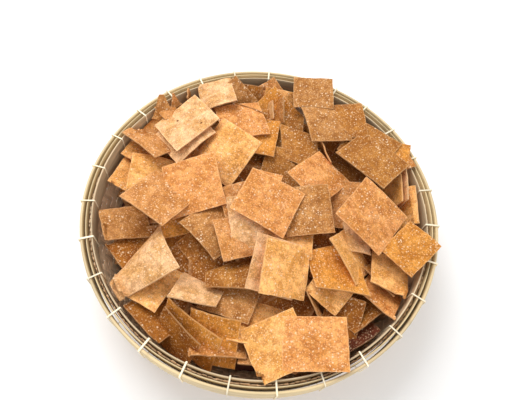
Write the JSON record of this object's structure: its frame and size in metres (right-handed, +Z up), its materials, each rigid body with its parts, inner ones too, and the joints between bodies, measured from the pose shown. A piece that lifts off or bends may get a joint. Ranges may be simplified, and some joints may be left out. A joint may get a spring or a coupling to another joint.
{
  "type": "heap of prawn crackers in a round basket",
  "caption": "Shallow round woven bamboo basket heaped with thin square fried prawn crackers that lie loosely over one another and over part of the rim.",
  "frame": {"origin": "middle of the basket's flat underside", "axes": "+Z up, +X to the right of the picture, +Y away from its viewer"},
  "size_m": [0.3419, 0.3422, 0.1039],
  "materials": {
    "mat": "matte",
    "outer_hoop": "satin",
    "lath": "satin",
    "inner_hoop": "satin",
    "tie": "satin",
    "crackers": "satin"
  },
  "bodies": {
    "root": {"woven_bowl": "mat", "outer_hoop": "outer_hoop", "middle_lath": "lath", "inner_hoop": "inner_hoop", "tie_01": "tie", "tie_02": "tie", "tie_03": "tie", "tie_04": "tie", "tie_05": "tie", "tie_06": "tie", "tie_07": "tie", "tie_08": "tie", "tie_09": "tie", "tie_10": "tie", "tie_11": "tie", "tie_12": "tie", "tie_13": "tie", "tie_14": "tie", "tie_15": "tie", "tie_16": "tie", "tie_17": "tie", "tie_18": "tie", "tie_19": "tie", "tie_20": "tie", "tie_21": "tie", "tie_22": "tie", "tie_23": "tie", "tie_24": "tie", "tie_25": "tie", "tie_26": "tie", "tie_27": "tie", "cracker_heap": "crackers"}
  },
  "joints": []
}
